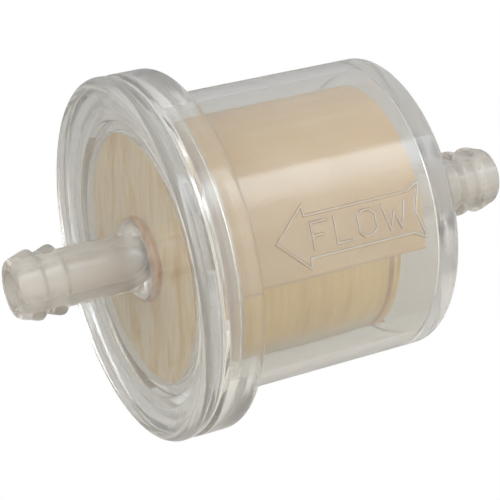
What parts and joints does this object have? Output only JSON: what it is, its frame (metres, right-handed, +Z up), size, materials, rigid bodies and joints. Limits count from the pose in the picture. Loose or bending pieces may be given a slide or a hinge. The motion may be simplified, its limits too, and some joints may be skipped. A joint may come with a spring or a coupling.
{
  "type": "fuel filter",
  "caption": "In-line fuel filter: clear welded cup with a flanged cap, a barbed hose nipple at each end, a raised flow arrow, and a wrapped pleated paper element.",
  "frame": {"origin": "middle of the overall length, on the flow axis", "axes": "+X along the flow axis to the inlet nipple, -X to the cap and the outlet nipple, +Z up, flow mark towards -Y and 24 degrees up"},
  "size_m": [0.0654, 0.044, 0.044],
  "materials": {
    "clear_shell": "clear, glossy",
    "wrap_paper": "smooth matte paper",
    "filter_paper": "matte resin-treated paper",
    "end_board": "matte paperboard",
    "potting": "cured adhesive",
    "core_plastic": "matte natural plastic",
    "clip_steel": "tin-plated strip",
    "seal_urethane": "soft poured urethane"
  },
  "bodies": {
    "root": {"housing": "clear_shell", "end_cap": "clear_shell", "weld_bead": "clear_shell", "outer_wrap": "wrap_paper", "paper_sleeve": "filter_paper", "filter_paper": "filter_paper", "seam_clip": "clip_steel", "outlet_end_ring": "end_board", "inlet_end_disc": "end_board", "outlet_potting": "potting", "inlet_potting": "potting", "core_tube": "core_plastic", "outlet_seal": "seal_urethane"}
  },
  "joints": []
}
